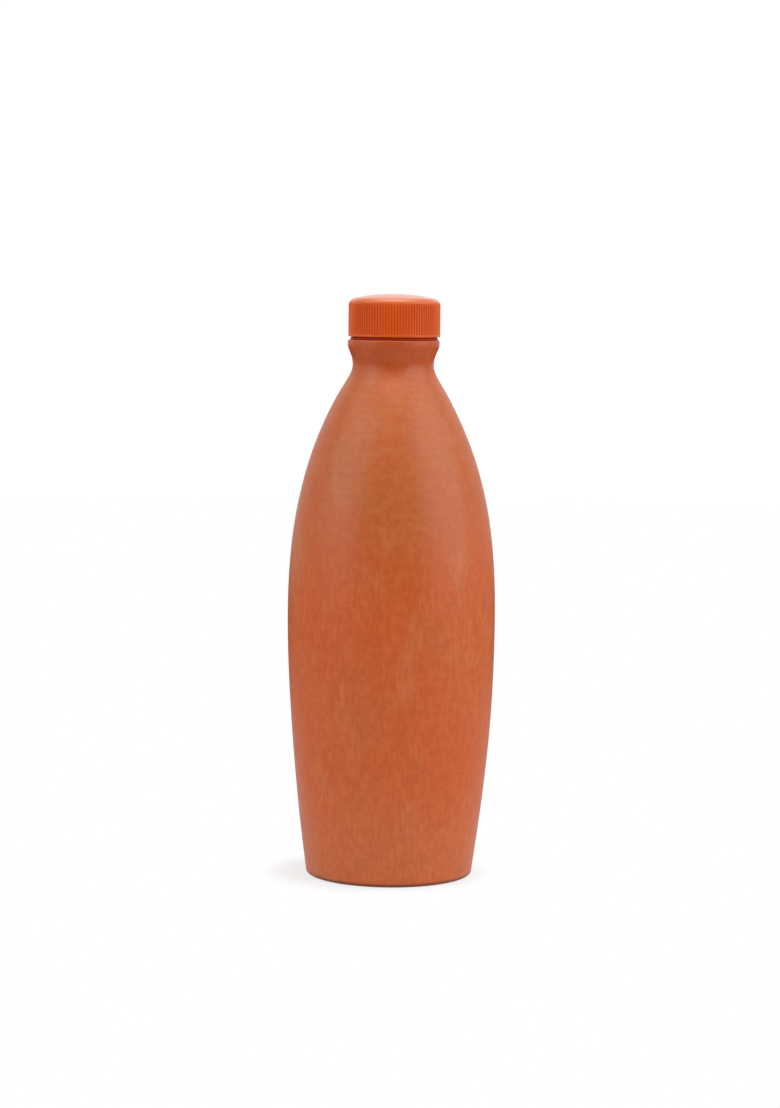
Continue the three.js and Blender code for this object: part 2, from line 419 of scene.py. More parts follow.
    def _grit(self, sheet: NodeSheet) -> Socket:
        """Pale grit in a few scattered specks.

        Args:
            sheet: Sheet of the clay.

        Returns:
            Share of grit showing at each point.
        """
        cells = sheet.add("TexVoronoi", {"Vector": sheet.place(), "Scale": 1 / self.grit_spacing})
        speck = sheet.spread(cells.outputs["Distance"], *self.grit_edge)
        chosen = sheet.add("SeparateColor", {"Color": cells.outputs["Color"]}).outputs[0]
        return sheet.combine("MULTIPLY", speck, sheet.spread(chosen, *self.grit_choice))


@dataclass(frozen=True)
class MouldedPlastic:
    """Moulded plastic with faint flow marks, a fine orange-peel skin and a smoother crown, whose colour
    carries a painted highlight.
    """

    name: str
    colour: Colour
    pale: Colour
    roughness: float
    specular: float
    polish: float = 0.0
    # share of the painted highlight: the crown's colour turns pale peach, standing for the shine of the
    # light above
    painted_highlight_share: float = 0.0
    painted_highlight_tint: Colour = srgb(234, 150, 104)
    crown_heights: Span = (274.5 * MM, 277.5 * MM)
    flow: Grain = Grain(9 * MM, detail=3.0, rough=0.55, stretch=(1, 1, 0.5))
    flow_tint: Ramp = (0.4, 0.7, 0.0, 0.35)
    flow_range: Span = (0.3, 0.7)
    flow_gloss: float = 0.04
    flow_dullness: float = 0.05
    peel: Grain = Grain(0.5 * MM)
    peel_depth: float = 0.01 * MM
    peel_strength: float = 0.2

    def material(self) -> bpy.types.Material:
        """Writes the plastic's node material.

        Returns:
            The finished material.
        """
        sheet = NodeSheet.for_material(self.name)
        flow = sheet.grain(self.flow)
        crown = sheet.spread(sheet.height(), *self.crown_heights)
        tint = sheet.blend(sheet.spread(flow, *self.flow_tint), self.colour, self.pale)
        # Painted highlight: the crown's colour turns pale peach, in place of the shine of the light above.
        tint = sheet.blend(sheet.combine("MULTIPLY", crown, self.painted_highlight_share), tint, self.painted_highlight_tint)
        glossy, dull = self.roughness - self.flow_gloss, self.roughness + self.flow_dullness
        polished = sheet.combine("MULTIPLY", crown, self.polish)
        rough = sheet.combine("SUBTRACT", sheet.spread(flow, *self.flow_range, glossy, dull), polished)
        return sheet.surface({
            "Base Color": tint,
            "Roughness": rough,
            "Specular IOR Level": self.specular,
            "Normal": sheet.relief(sheet.grain(self.peel), self.peel_depth, self.peel_strength),
        })


# Painted shade: the neck's colour is darker than the plastic's own, as the neck shows only in the shaded
# gap under the cap.
NECK_PLASTIC = MouldedPlastic(
    "neck_plastic", srgb(163, 41, 0), srgb(170, 49, 2), roughness=0.5, specular=0.1
)
# The cap's crown carries a painted highlight in its colour.
CAP_PLASTIC = MouldedPlastic(
    "cap_plastic", srgb(200, 75, 0), srgb(206, 86, 4), roughness=0.3, specular=0.3, polish=0.2, painted_highlight_share=0.35
)


@dataclass(frozen=True)
class FoamSheet:
    """Closed-cell white foam with small cells."""

    colour: Colour = srgb(238, 235, 226)
    shade: Colour = srgb(216, 210, 198)
    cell_size: float = 0.7 * MM
    cell_wall: Span = (0.1, 0.6)
    cell_depth: float = 0.08 * MM
    cell_strength: float = 0.4
    roughness: float = 0.82

    def material(self) -> bpy.types.Material:
        """Writes the foam's node material.

        Returns:
            The finished material.
        """
        sheet = NodeSheet.for_material("liner_foam")
        cells = sheet.add("TexVoronoi", {"Vector": sheet.place(), "Scale": 1 / self.cell_size})
        wall = sheet.spread(cells.outputs["Distance"], *self.cell_wall)
        return sheet.surface({
            "Base Color": sheet.blend(wall, self.colour, self.shade),
            "Roughness": self.roughness,
            "Normal": sheet.relief(wall, self.cell_depth, self.cell_strength),
        })


@dataclass(frozen=True)
class SetGlue:
    """Hard cream-coloured glue with small bubbles."""

    colour: Colour = srgb(217, 204, 178)
    amber: Colour = srgb(196, 170, 128)
    cloud: Grain = Grain(4 * MM, detail=3.0)
    cloud_tint: Span = (0.35, 0.7)
    roughness: Ramp = (0.3, 0.7, 0.35, 0.5)
    bubble: Grain = Grain(0.8 * MM, detail=1.0)
    bubble_depth: float = 0.06 * MM
    bubble_strength: float = 0.5

    def material(self) -> bpy.types.Material:
        """Writes the glue's node material.

        Returns:
            The finished material.
        """
        sheet = NodeSheet.for_material("set_glue")
        cloud = sheet.grain(self.cloud)
        return sheet.surface({
            "Base Color": sheet.blend(sheet.spread(cloud, *self.cloud_tint), self.colour, self.amber),
            "Roughness": sheet.spread(cloud, *self.roughness),
            "Normal": sheet.relief(sheet.grain(self.bubble), self.bubble_depth, self.bubble_strength),
        })


Finish = Terracotta | MouldedPlastic | FoamSheet | SetGlue


class Outline:
    """Half section of a turned piece, walked from point to point as (radius, height)."""

    def __init__(self, radius: float, height: float, skin: Skin = Skin.OUTSIDE) -> None:
        """Starts the outline.

        Args:
            radius: Radius of the first point.
            height: Height of the first point.
            skin: Side of the wall that the first stretch is on.
        """
        self.points: list[Point] = [(radius, height)]
        self.skins: list[Skin] = [skin]
        self.skin = skin        # side of the wall that the next stretches are on

    def line(self, radius: float, height: float, *, steps: int) -> None:
        """Goes straight on.

        Args:
            radius: Radius of the end.
            height: Height of the end.
            steps: How many edges the stretch has.
        """
        start = Vector(self.points[-1])
        end = Vector((radius, height))
        self._extend([start.lerp(end, step / steps) for step in range(1, steps + 1)])

    def bend(self, first: Point, second: Point, end: Point, *, steps: int) -> None:
        """Goes on along a cubic curve.

        Args:
            first: Handle of the curve's start.
            second: Handle of the curve's end.
            end: Last point.
            steps: How many edges the stretch has.
        """
        knots = [Vector(point) for point in (self.points[-1], first, second, end)]
        self._extend(interpolate_bezier(*knots, steps + 1)[1:])

    def round(self, corner: Point, end: Point, *, steps: int, handle: float = ARC_HANDLE) -> None:
        """Rounds off a corner.

        Args:
            corner: The corner that is rounded.
            end: Last point of the rounding.
            steps: How many edges the stretch has.
            handle: Share of the way to the corner at which both handles stand.
        """
        peak = Vector(corner)
        first = Vector(self.points[-1]).lerp(peak, handle)
        second = Vector(end).lerp(peak, handle)
        self.bend(tuple(first), tuple(second), end, steps=steps)

    def _extend(self, points: list[Vector]) -> None:
        """Adds points on the present side of the wall."""
        self.points += [(point.x, point.y) for point in points]
        self.skins += [self.skin] * len(points)

    def spin(self, facets: int, closed: bool = False) -> bmesh.types.BMesh:
        """Turns the outline about the upright axis.

        Args:
            facets: Facets in the full turn, a multiple of the sectors.
            closed: Whether the last point joins the first, as on a ring.

        Returns:
            The closed mesh, with a skin layer on its points.
        """
        mesh = bmesh.new()
        skin = mesh.verts.layers.float.new("skin")
        row = []
        for (radius, height), side in zip(self.points, self.skins):
            vertex = mesh.verts.new((radius, 0, height))
            vertex[skin] = side.value
            row.append(vertex)
        pairs = list(zip(row, row[1:]))
        if closed:
            pairs.append((row[-1], row[0]))
        edges = [mesh.edges.new(pair) for pair in pairs]
        sector = math.tau / SECTORS
        about = {"cent": (0, 0, 0), "axis": (0, 0, 1)}
        bmesh.ops.spin(mesh, geom=row + edges, angle=sector, steps=facets // SECTORS, **about)
        first = mesh.verts[:] + mesh.edges[:] + mesh.faces[:]
        rest = math.tau - sector
        bmesh.ops.spin(mesh, geom=first, angle=rest, steps=SECTORS - 1, use_duplicate=True, **about)
        bmesh.ops.remove_doubles(mesh, verts=mesh.verts, dist=WELD)
        bmesh.ops.recalc_face_normals(mesh, faces=mesh.faces)
        return mesh


def reshape(mesh: bmesh.types.BMesh, move: Mover) -> None:
    """Moves each point of a turned mesh in round coordinates.

    Args:
        mesh: Mesh to move.
        move: Takes a spot, and gives its new radius and height and a shift along X.
    """
    skin = mesh.verts.layers.float["skin"]
    for vertex in mesh.verts:
        radius = math.hypot(vertex.co.x, vertex.co.y)
        angle = math.atan2(vertex.co.y, vertex.co.x) % math.tau
        moved, height, shift = move(Spot(radius, angle, vertex.co.z, vertex[skin]))
        vertex.co = (moved * math.cos(angle) + shift, moved * math.sin(angle), height)


@dataclass(frozen=True)
class Thread:
    """Right-hand screw thread that stands out of a wall, or into a bore."""

    foot: float
    pitch: float = 4.2 * MM
    turns: float = 1.6
    root_share: float = 0.52
    crest_share: float = 0.21
    runout: float = 0.07

    def rise(self, angle: float, height: float) -> float:
        """How much of the thread's depth stands at a place on the wall.

        Args:
            angle: Angle about the axis, from 0 to a full turn.
            height: Height of the place.

        Returns:
            Share of the depth, from 0 at the wall to 1 at the crest.
        """
        first = angle / math.tau
        nearest = first + round((height - self.foot) / self.pitch - first)
        turn = min(max(nearest, first), first + math.floor(self.turns - first))
        off = abs(height - self.foot - self.pitch * turn)
        root, crest = self.root_share * self.pitch / 2, self.crest_share * self.pitch / 2
        fade = ease(min(turn, self.turns - turn), 0, self.runout)
        return fade * ease(off, root, crest)


@dataclass
class Piece(ABC):
    """One piece of the bottle: what it stands for, what it moves with and where its finish is listed."""

    node: str
    body: str
    slot: str
    crease: float = math.radians(32)
    low: float = field(init=False)
    high: float = field(init=False)
    radius: float = field(init=False)

    def __post_init__(self) -> None:
        """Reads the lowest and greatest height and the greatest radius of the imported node."""
        low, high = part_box(self.node)
        self.low, self.high, self.radius = low.z, high.z, high.x

    @abstractmethod
    def form(self) -> bmesh.types.BMesh:
        """Closed mesh of the piece in its place, with a skin layer on its points."""

    def build(self, finish: Finish) -> None:
        """Makes the finished object, which rides on its body.

        Args:
            finish: Look of the whole piece.
        """
        mesh = self.form()
        mesh.verts.layers.float.remove(mesh.verts.layers.float["skin"])
        data = bpy.data.meshes.new(self.node + "_form")
        mesh.to_mesh(data)
        mesh.free()
        data.shade_smooth()
        data.set_sharp_from_angle(angle=self.crease)
        data.materials.append(finish.material())
        piece = bpy.data.objects.new(self.node + "_look", data)
        bpy.context.scene.collection.objects.link(piece)
        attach(piece, self.body)
        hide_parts(self.node)
        log.info("%s: %d faces on body %s", piece.name, len(data.polygons), self.body)


@dataclass
class ClayBody(Piece):
    """Thrown and fired shell: foot, flank, belly, shoulder, throat and lip round one hollow."""

    node: str = "clay_body"
    body: str = "bottle"
    slot: str = "terracotta"
    belly_height: float = 125.5 * MM
    foot_radius: float = 40.2 * MM
    foot_rounding: float = 2 * MM
    flank_fullness: float = 0.55
    belly_fullness: float = 0.386
    shoulder_fullness: float = 0.31
    shoulder_slope: float = 0.53
    throat_radius: float = 19.5 * MM
    throat_drop: float = 12 * MM
    throat_curve: float = 17 * MM
    throat_flare: float = 8.35 * MM
    throat_lead: float = 0.5
    throat_tuck: float = 0.26
    lip_radius: float = 22 * MM
    lip_band: float = 1.8 * MM
    lip_rounding: float = 0.8 * MM
    lip_lead: float = 0.5
    lip_tuck: float = 0.2
    mouth_radius: float = 15.7 * MM
    mouth_edge: float = 0.4 * MM
    bore_depth: float = 18.5 * MM
    bore_ease: float = 0.4
    wall: float = 6.5 * MM
    floor: float = 8 * MM
    floor_rounding: float = 9 * MM
    hollow_lead: float = 0.3
    hollow_tuck: float = 0.33
    hollow_slope: float = 0.05
    facets: int = 160
    still_foot: float = 6 * MM
    still_lip: float = 3.7 * MM
    waviness: float = 0.1 * MM
    wave_size: float = 38 * MM
    wave_least: float = 0.4
    ring_depth: float = 0.05 * MM
    ring_spacing: float = 3.2 * MM
    ring_start: float = 60 * MM
    ring_patch: float = 24 * MM
    ring_patches: float = 1.4
    ring_patch_edge: Span = (-0.3, 0.4)
    bow: float = 0.4 * MM
    bow_height: float = 66 * MM
    bow_reach: float = 40 * MM
    lean: float = 0.45 * MM
    lean_height: float = 230 * MM
    lean_reach: float = 32 * MM

    def form(self) -> bmesh.types.BMesh:
        """Turns the clay body and leaves the thrower's marks in it.

        Returns:
            The closed mesh.
        """
        outline = self._outside()
        self._hollow(outline)
        mesh = outline.spin(self.facets)
        reshape(mesh, self._hand_thrown)
        return mesh

    def _outside(self) -> Outline:
        """Half section from the middle of the base up to the lip's top.

        Returns:
            The outline so far.
        """
        belly = self.radius
        lip = self.lip_radius
        slope = self.shoulder_slope
        lip_foot = self.high - self.lip_rounding - self.lip_band
        throat = self.high - self.throat_drop
        shoulder = throat - self.throat_curve
        shoulder_radius = self.throat_radius + self.throat_flare
        flank_knee = self.foot_rounding + self.flank_fullness * (self.belly_height - self.foot_rounding)
        shoulder_run = shoulder - self.belly_height
        shoulder_lead = self.shoulder_fullness * shoulder_run
        throat_lead = self.throat_lead * self.throat_curve
        lip_run = lip_foot - throat
        outline = Outline(0, self.low)
        outline.line(self.foot_radius - self.foot_rounding, self.low, steps=8)
        outline.round((self.foot_radius, self.low), (self.foot_radius, self.foot_rounding), steps=8)
        outline.round((belly, flank_knee), (belly, self.belly_height), steps=60, handle=PARABOLA_HANDLE)
        outline.bend(
            (belly, self.belly_height + self.belly_fullness * shoulder_run),
            (shoulder_radius + slope * shoulder_lead, shoulder - shoulder_lead),
            (shoulder_radius, shoulder),
            steps=190,
        )
        outline.bend(
            (shoulder_radius - slope * throat_lead, shoulder + throat_lead),
            (self.throat_radius, throat - self.throat_tuck * self.throat_curve),
            (self.throat_radius, throat),
            steps=28,
        )
        outline.bend(
            (self.throat_radius, throat + self.lip_lead * lip_run),
            (lip, lip_foot - self.lip_tuck * lip_run),
            (lip, lip_foot),
            steps=18,
        )
        outline.line(lip, self.high - self.lip_rounding, steps=3)
        outline.round((lip, self.high), (lip - self.lip_rounding, self.high), steps=6)
        return outline

    def _hollow(self, outline: Outline) -> None:
        """Carries the half section on, from the lip down the bore and the cavity to the floor.

        Args:
            outline: Outside half section, which ends on the lip.
        """
        slope = self.shoulder_slope
        slant = math.hypot(1, slope)
        mouth = self.mouth_radius
        belly = self.radius - self.wall
        shoulder = self.high - self.throat_drop - self.throat_curve - self.wall * slope / slant
        shoulder_radius = self.throat_radius + self.throat_flare - self.wall / slant
        shoulder_run = shoulder - self.belly_height
        shoulder_lead = self.shoulder_fullness * shoulder_run
        bore_foot = self.high - self.bore_depth
        bore_lead = self.bore_ease * (bore_foot - shoulder)
        foot = self.floor + self.floor_rounding
        foot_radius = self.foot_radius - self.wall
        flank_run = self.belly_height - foot
        outline.skin = Skin.INSIDE
        outline.line(mouth + self.mouth_edge, self.high, steps=2)
        outline.round((mouth, self.high), (mouth, self.high - self.mouth_edge), steps=4)
        outline.line(mouth, bore_foot, steps=6)
        outline.bend(
            (mouth, bore_foot - bore_lead),
            (shoulder_radius - slope * bore_lead, shoulder + bore_lead),
            (shoulder_radius, shoulder),
            steps=10,
        )
        outline.bend(
            (shoulder_radius + slope * shoulder_lead, shoulder - shoulder_lead),
            (belly, self.belly_height + self.belly_fullness * shoulder_run),
            (belly, self.belly_height),
            steps=24,
        )
        outline.bend(
            (belly, self.belly_height - self.hollow_lead * flank_run),
            (foot_radius + self.hollow_slope * flank_run, foot + self.hollow_tuck * flank_run),
            (foot_radius, foot),
            steps=20,
        )
        outline.round((foot_radius, self.floor), (foot_radius - self.floor_rounding, self.floor), steps=8)
        outline.line(0, self.floor, steps=5)

    def _hand_thrown(self, spot: Spot) -> Triple:
        """Shape left by hand throwing: spiral rings on the shoulder, slow waves and a slight bow.

        Args:
            spot: Point of the true form.

        Returns:
            The thrown radius and height, and the shift along X.
        """
        radius, angle, height, skin = spot
        if radius < WELD:
            return radius, height, 0.0
        above_foot = ease(height, self.low, self.low + self.still_foot)
        below_lip = ease(height, self.high - self.still_lip, self.high - self.bore_depth)
        across, along = math.cos(angle), math.sin(angle)
        swell = 0.5 + 0.5 * noise.noise(Vector((across, along, height / self.wave_size)))
        wave = self.waviness * (self.wave_least + (1 - self.wave_least) * swell)
        patch = self.ring_patches * Vector((across, along, height / self.ring_patch))
        shoulder = ease(height, self.belly_height, self.belly_height + self.ring_start)
        ring_share = shoulder * ease(noise.noise(patch), *self.ring_patch_edge) * skin
        turn = height / self.ring_spacing - angle / math.tau
        ring = self.ring_depth * (0.5 - 0.5 * math.cos(math.tau * turn)) * ring_share
        shift = self.bow * math.exp(-(((height - self.bow_height) / self.bow_reach) ** 2))
        shift -= self.lean * math.exp(-(((height - self.lean_height) / self.lean_reach) ** 2))
        return radius - (wave + ring) * above_foot * below_lip, height, shift * skin


@dataclass
class ScrewNeck(Piece):
    """Moulded neck: spigot in the clay mouth, flange on the lip and a threaded tube under the cap."""

    node: str = "screw_neck"
    body: str = "bottle"
    slot: str = "neck_plastic"
    bore: float = 13.2 * MM
    spigot_radius: float = 14.8 * MM
    spigot_chamfer: float = 0.8 * MM
    spigot_length: float = 17.1 * MM
    flange_thickness: float = 1 * MM
    tube_radius: float = 18.35 * MM
    tube_wall: float = 1.9 * MM
    rim_rounding: float = 0.6 * MM
    funnel_height: float = 3.5 * MM
    thread_depth: float = 1.25 * MM
    thread_inset: float = 5.2 * MM
    edge: float = 0.2 * MM
    facets: int = 240

    def form(self) -> bmesh.types.BMesh:
        """Turns the neck and raises its thread.

        Returns:
            The closed mesh.
        """
        flange = self.radius
        foot = self.low + self.spigot_length
        top = foot + self.flange_thickness
        tube = self.tube_radius
        tube_bore = tube - self.tube_wall
        rim = self.high - self.rim_rounding
        outline = Outline(self.bore, self.low, Skin.INSIDE)
        outline.line(self.spigot_radius - self.spigot_chamfer, self.low, steps=2)
        outline.line(self.spigot_radius, self.low + self.spigot_chamfer, steps=2)
        outline.line(self.spigot_radius, foot, steps=8)
        outline.line(flange - self.edge, foot, steps=4)
        outline.round((flange, foot), (flange, foot + self.edge), steps=3)
        outline.line(flange, top - self.edge, steps=2)
        outline.round((flange, top), (flange - self.edge, top), steps=3)
        outline.line(tube + self.edge, top, steps=3)
        outline.skin = Skin.OUTSIDE
        outline.round((tube, top), (tube, top + self.edge), steps=3)
        outline.line(tube, rim, steps=76)
        outline.skin = Skin.INSIDE
        outline.round((tube, self.high), (tube - self.rim_rounding, self.high), steps=5)
        outline.line(tube_bore + self.rim_rounding, self.high, steps=2)
        outline.round((tube_bore, self.high), (tube_bore, rim), steps=5)
        outline.line(tube_bore, top, steps=8)
        outline.line(self.bore, top - self.funnel_height, steps=4)
        outline.line(self.bore, self.low + self.edge, steps=6)
        mesh = outline.spin(self.facets, closed=True)
        thread = Thread(top + self.thread_inset)

        def threaded(spot: Spot) -> Triple:
            """Raises the thread on the outside of the tube."""
            rise = spot.skin * self.thread_depth * thread.rise(spot.angle, spot.height)
            return spot.radius + rise, spot.height, 0.0

        reshape(mesh, threaded)
        return mesh


@dataclass
class GlueRing(Piece):
    """Set glue between the spigot and the clay mouth, with a wavy edge above and below."""

    node: str = "neck_glue_ring"
    body: str = "bottle"
    slot: str = "set_glue"
    inner_radius: float = 14.9 * MM
    edge_wave: float = 0.6 * MM
    wave_count: float = 2.4
    facets: int = 128

    def form(self) -> bmesh.types.BMesh:
        """Turns the glue ring and makes its edges wavy.

        Returns:
            The closed mesh.
        """
        inner, outer = self.inner_radius, self.radius
        middle = (inner + outer) / 2
        round_off = outer - middle
        outline = Outline(inner, self.low + round_off)
        outline.round((inner, self.low), (middle, self.low), steps=4)
        outline.round((outer, self.low), (outer, self.low + round_off), steps=4)
        outline.line(outer, self.high - round_off, steps=10)
        outline.round((outer, self.high), (middle, self.high), steps=4)
        outline.round((inner, self.high), (inner, self.high - round_off), steps=4)
        outline.line(inner, self.low + 2 * round_off, steps=10)
        mesh = outline.spin(self.facets, closed=True)
        reshape(mesh, self._wavy)
        return mesh

    def _wavy(self, spot: Spot) -> Triple:
        """Draws the two edges in by a slow wave.

        Args:
            spot: Point of the plain ring.

        Returns:
            The radius and the new height, and no shift.
        """
        away = (2 * spot.height - self.low - self.high) / (self.high - self.low)
        across = self.wave_count * math.cos(spot.angle)
        along = self.wave_count * math.sin(spot.angle)
        drawn = self.edge_wave * (0.5 + 0.5 * noise.noise(Vector((across, along, away))))
        return spot.radius, spot.height - away * drawn, 0.0


@dataclass
class ScrewCap(Piece):
    """Ribbed cap: plain foot ring, grooved grip, rounded and domed crown, and a threaded inside."""

    node: str = "screw_cap"
    body: str = "cap"
    slot: str = "cap_plastic"
    ribs: int = 100
    rib_facets: int = 6
    rib_depth: float = 0.45 * MM
    rib_fade: float = 0.6 * MM
    rib_run: float = 1.4 * MM
    foot_ring: float = 0.7 * MM
    edge: float = 0.25 * MM
    crown_rounding: float = 4 * MM
    crown_rise: float = 1.9 * MM
    crown_wall: float = 1.8 * MM
    dome_lead: float = 0.4
    dome_tuck: float = 0.733
    dome_fall: float = 1 / 3
    gate_radius: float = 1.3 * MM
    gate_floor: float = 1.04 * MM
    gate_sink: float = 0.12 * MM
    bore: float = 19.95 * MM
    thread_depth: float = 1.25 * MM
    thread_rise: float = 3.067 * MM
    bead_depth: float = 0.6 * MM
    bead_height: float = 1.1 * MM
    bead_drop: float = 2.3 * MM

    @property
    def crown_edge(self) -> float:
        """Height where the crown's dome starts."""
        return self.high - self.crown_rise

    @property
    def grip_top(self) -> float:
        """Height where the crown's rounding starts."""
        return self.crown_edge - self.crown_rounding

    @property
    def grip_foot(self) -> float:
        """Height where the grooves start."""
        return self.low + self.foot_ring

    def form(self) -> bmesh.types.BMesh:
        """Turns the cap and gives it its ribs and its thread.

        Returns:
            The closed mesh.
        """
        outline = self._outside()
        self._inside(outline)
        mesh = outline.spin(self.ribs * self.rib_facets)
        reshape(mesh, self._ribbed_and_threaded)
        return mesh

    def _outside(self) -> Outline:
        """Half section from the crown's middle down the grip to the skirt's foot.

        Returns:
            The outline so far.
        """
        crest = self.radius
        dome = crest - self.crown_rounding
        outline = Outline(0, self.high - self.gate_sink)
        outline.line(self.gate_floor, self.high - self.gate_sink, steps=3)
        outline.line(self.gate_radius, self.high, steps=3)
        outline.bend(
            (dome * self.dome_lead, self.high),
            (dome * self.dome_tuck, self.high - self.crown_rise * self.dome_fall),
            (dome, self.crown_edge),
            steps=14,
        )
        outline.round((crest, self.crown_edge), (crest, self.grip_top), steps=16)
        outline.line(crest, self.grip_top - self.rib_fade, steps=4)
        outline.line(crest, self.grip_foot + self.rib_fade, steps=4)
        outline.line(crest, self.grip_foot, steps=4)
        outline.line(crest, self.low + self.edge, steps=2)
        outline.round((crest, self.low), (crest - self.edge, self.low), steps=3)
        return outline

    def _inside(self, outline: Outline) -> None:
        """Carries the half section on, from the skirt's foot up the bore to the middle of the ceiling.

        Args:
            outline: Outside half section, which ends at the skirt's foot.
        """
        ceiling = self.crown_edge - self.crown_wall
        bead = self.bore - self.bead_depth
        bead_top = ceiling - self.bead_drop
        bead_foot = bead_top - self.bead_height
        outline.skin = Skin.INSIDE
        outline.line(self.bore + self.edge, self.low, steps=2)
        outline.round((self.bore, self.low), (self.bore, self.low + self.edge), steps=3)
        outline.line(self.bore, bead_foot, steps=56)
        outline.round((bead, bead_foot), (bead, bead_foot + self.bead_height / 2), steps=5)
        outline.round((bead, bead_top), (self.bore, bead_top), steps=5)
        outline.line(self.bore, ceiling - self.edge, steps=2)
        outline.round((self.bore, ceiling), (self.bore - self.edge, ceiling), steps=3)
        outline.line(0, ceiling, steps=6)

    def _ribbed_and_threaded(self, spot: Spot) -> Triple:
        """Sinks the grip's grooves on the outside and raises the thread on the inside.

        Args:
            spot: Point of the plain cap.

        Returns:
            The new radius, the height, and no shift.
        """
        radius, angle, height, skin = spot
        if skin == Skin.OUTSIDE.value:
            fade = ease(height, self.grip_foot, self.grip_foot + self.rib_fade)
            rib_top = self.grip_top + self.rib_run
            fade *= ease(height, rib_top + self.rib_fade, rib_top - self.rib_fade)
            groove = (0.5 + 0.5 * math.cos(self.ribs * angle)) ** 2
            return radius - self.rib_depth * fade * groove, height, 0.0
        if abs(radius - self.bore) >= self.edge:
            return radius, height, 0.0
        thread = Thread(self.low + self.thread_rise)
        return radius - self.thread_depth * thread.rise(angle, height), height, 0.0


@dataclass
class CapLiner(Piece):
    """Soft disc in the cap, pressed in by the neck's rim."""

    node: str = "cap_liner"
    body: str = "liner"
    slot: str = "liner_foam"
    edge: float = 0.25 * MM
    press_depth: float = 0.14 * MM
    press_inner: float = 16.5 * MM
    press_outer: float = 18.3 * MM
    press_slope: float = 0.3 * MM
    facets: int = 144

    def form(self) -> bmesh.types.BMesh:
        """Turns the liner with the mark of the neck's rim.

        Returns:
            The closed mesh.
        """
        outer = self.radius
        pressed = self.low + self.press_depth
        outline = Outline(0, self.low)
        outline.line(self.press_inner - self.press_slope, self.low, steps=8)
        outline.line(self.press_inner, pressed, steps=3)
        outline.line(self.press_outer, pressed, steps=4)
        outline.line(self.press_outer + self.press_slope, self.low, steps=3)
        outline.line(outer - self.edge, self.low, steps=2)
        outline.round((outer, self.low), (outer, self.low + self.edge), steps=4)
        outline.line(outer, self.high - self.edge, steps=4)
        outline.round((outer, self.high), (outer - self.edge, self.high), steps=4)
        outline.line(0, self.high, steps=8)
        return outline.spin(self.facets)


@dataclass(frozen=True)
class SoftBox:
    """Large soft lamp that faces the bottle."""

    name: str
    place: Triple
    width: float
    tall: float
    watts: float
    aim: Triple = (0.0, 0.0, 0.15)

    def build(self) -> None:
        """Makes the lamp and turns it to the bottle."""
        lamp = bpy.data.lights.new(self.name, "AREA")
        lamp.shape = "RECTANGLE"
        lamp.size = self.width
        lamp.size_y = self.tall
        lamp.energy = self.watts
        lamp_object = bpy.data.objects.new(self.name, lamp)
        lamp_object.location = self.place
        towards = Vector(self.aim) - Vector(self.place)
        lamp_object.rotation_euler = towards.to_track_quat("-Z", "Y").to_euler()
        bpy.context.scene.collection.objects.link(lamp_object)
        log.info("lamp %s", self.name)


@dataclass(frozen=True)
class Panel:
    """Tall soft box beside the bottle: its side, its angle from the camera, its width and its power."""

    side: Side
    azimuth: float
    width: float
    watts: float


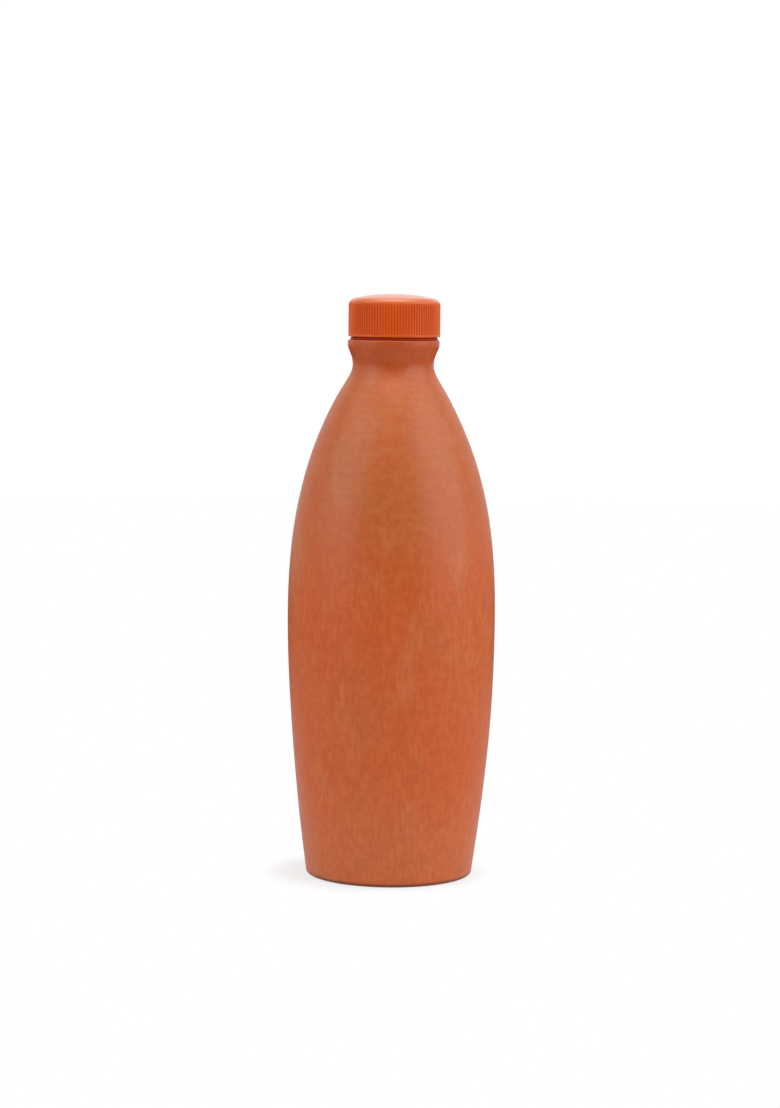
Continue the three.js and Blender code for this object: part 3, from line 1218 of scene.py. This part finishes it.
@dataclass
class Studio:
    """Pale floor, white surround, soft boxes and the camera."""

    frame_pixels: tuple[int, int] = (780, 1108)
    focal_pixels: float = 3010.0
    camera_distance: float = 1.443
    camera_height: float = 0.2866
    camera_aside: float = -0.0009
    camera_clip: Span = (0.05, 20.0)
    pitch: float = math.radians(5.21)
    roll: float = math.radians(0.62)
    floor_radius: float = 2.5
    floor_facets: int = 96
    floor_drop: float = 0.05 * MM
    fibre: Grain = Grain(0.6 * MM)
    fibre_tone: Ramp = (0.3, 0.7, 0.85, 0.87)
    shadow_middle: Triple = (-0.006, 0.0, 0.0)
    shadow_glow: Ramp = (0.041, 0.059, 0.68, 1.0)
    paper_mirror: Ramp = (0.3, 0.9, 0.6, 0.04)
    ambient: float = 0.55
    surround: Ramp = (-0.35, 0.25, 0.04, 0.7)
    backdrop: Ramp = (0.84, 0.97, 0.0, 1.08)
    sweep: Ramp = (0.12, 0.35, 0.0, 1.3)
    sweep_depth: Span = (0.45, 0.7)
    ceiling: Ramp = (0.32, 0.78, 0.0, 1.4)
    zenith: Ramp = (0.76, 0.94, 0.0, 4.2)
    panel_distance: float = 1.2
    panel_height: float = 0.7
    panel_tall: float = 1.2
    panels: tuple[Panel, ...] = (
        Panel(Side.LEFT, math.radians(64), width=1.1, watts=7.2),
        Panel(Side.RIGHT, math.radians(69), width=1.35, watts=11.2),
    )
    overhead: SoftBox = SoftBox("overhead_box", (0.0, -0.1, 1.0), width=0.4, tall=0.4, watts=1.4)

    def build(self) -> None:
        """Makes the whole set."""
        self._world()
        self._floor()
        for panel in self.panels:
            self._soft_box(panel).build()
        self.overhead.build()
        self._camera()
        bpy.context.scene.view_settings.view_transform = "Standard"

    def _soft_box(self, panel: Panel) -> SoftBox:
        """Places a panel's lamp.

        Args:
            panel: The panel.

        Returns:
            Its lamp, yet to be made.
        """
        across = panel.side.value * self.panel_distance * math.sin(panel.azimuth)
        ahead = -self.panel_distance * math.cos(panel.azimuth)
        place = (across, ahead, self.panel_height)
        return SoftBox(f"{panel.side.name.lower()}_panel", place, panel.width, self.panel_tall, panel.watts)

    def _world(self) -> None:
        """White surround for the camera, dim behind it for reflections, and an even light level."""
        world = bpy.data.worlds.new("white_surround")
        bpy.context.scene.world = world
        sheet = NodeSheet(world)
        direction = sheet.add("TexCoord").outputs["Generated"]
        axes = sheet.add("SeparateXYZ", {"Vector": direction}).outputs
        ahead, upward = axes["Y"], axes["Z"]
        sweep = sheet.spread(upward, *self.sweep)
        levels = [
            sheet.spread(ahead, *self.surround),
            sheet.spread(ahead, *self.backdrop),
            sheet.combine("MULTIPLY", sweep, sheet.spread(ahead, *self.sweep_depth)),
            sheet.spread(upward, *self.ceiling),
            sheet.spread(upward, *self.zenith),
            sheet.add("LightPath").outputs["Is Camera Ray"],
        ]
        white = sheet.combine("MAXIMUM", *levels)
        shown = sheet.add("Background", {"Color": WHITE, "Strength": white})
        light = sheet.add("Background", {"Color": WHITE, "Strength": self.ambient})
        mixed = sheet.add("MixShader", {0: sheet.seen(), 1: light.outputs[0], 2: shown.outputs[0]})
        sheet.add("OutputWorld", {"Surface": mixed.outputs[0]})

    def _floor(self) -> None:
        """Pale floor that keeps the bottle's shadow and runs out into the white surround."""
        mesh = bmesh.new()
        bmesh.ops.create_circle(mesh, cap_ends=True, segments=self.floor_facets, radius=self.floor_radius)
        bmesh.ops.translate(mesh, verts=mesh.verts, vec=(0, 0, -self.floor_drop))
        data = bpy.data.meshes.new("floor_form")
        mesh.to_mesh(data)
        mesh.free()
        data.materials.append(self._floor_material())
        floor = bpy.data.objects.new("studio_floor", data)
        bpy.context.scene.collection.objects.link(floor)

    def _floor_material(self) -> bpy.types.Material:
        """Paper whose own white shows to the camera, with the shadow left in near the bottle.

        Returns:
            The finished material.
        """
        sheet = NodeSheet.for_material("studio_paper")
        ends = {0: sheet.place(), 1: self.shadow_middle}
        away = sheet.add("VectorMath", ends, operation="DISTANCE").outputs["Value"]
        share = sheet.combine("MULTIPLY", sheet.spread(away, *self.shadow_glow), sheet.seen())
        pale = sheet.spread(sheet.grain(self.fibre), *self.fibre_tone)
        tint = sheet.add("CombineColor", {0: pale, 1: pale, 2: pale}).outputs[0]
        paper = sheet.add("BsdfDiffuse", {"Color": tint})
        camera_ray = sheet.add("LightPath").outputs["Is Camera Ray"]
        level = sheet.combine("MAXIMUM", sheet.spread(away, *self.paper_mirror), camera_ray)
        white = sheet.add("Emission", {"Color": WHITE, "Strength": level})
        mixed = sheet.add("MixShader", {0: share, 1: paper.outputs[0], 2: white.outputs[0]})
        sheet.add("OutputMaterial", {"Surface": mixed.outputs[0]})
        return sheet.owner

    def _camera(self) -> None:
        """Camera at the photograph's place, with its slight lean."""
        lens = bpy.data.cameras.new("camera")
        lens.sensor_fit = "AUTO"
        lens.lens = self.focal_pixels / max(self.frame_pixels) * lens.sensor_width
        lens.clip_start, lens.clip_end = self.camera_clip
        camera = bpy.data.objects.new("camera", lens)
        level = math.pi / 2 - self.pitch
        turned = Matrix.Rotation(level, 4, "X") @ Matrix.Rotation(self.roll, 4, "Z")
        place = Matrix.Translation((self.camera_aside, -self.camera_distance, self.camera_height))
        camera.matrix_world = place @ turned
        bpy.context.scene.collection.objects.link(camera)
        bpy.context.scene.camera = camera


def main() -> None:
    """Builds the set and every piece of the bottle."""
    logging.basicConfig(level=logging.INFO, format="%(name)s: %(message)s")
    Studio().build()
    ClayBody().build(Terracotta())
    ScrewNeck().build(NECK_PLASTIC)
    GlueRing().build(SetGlue())
    CapLiner().build(FoamSheet())
    ScrewCap().build(CAP_PLASTIC)


if __name__ == "__main__":
    main()
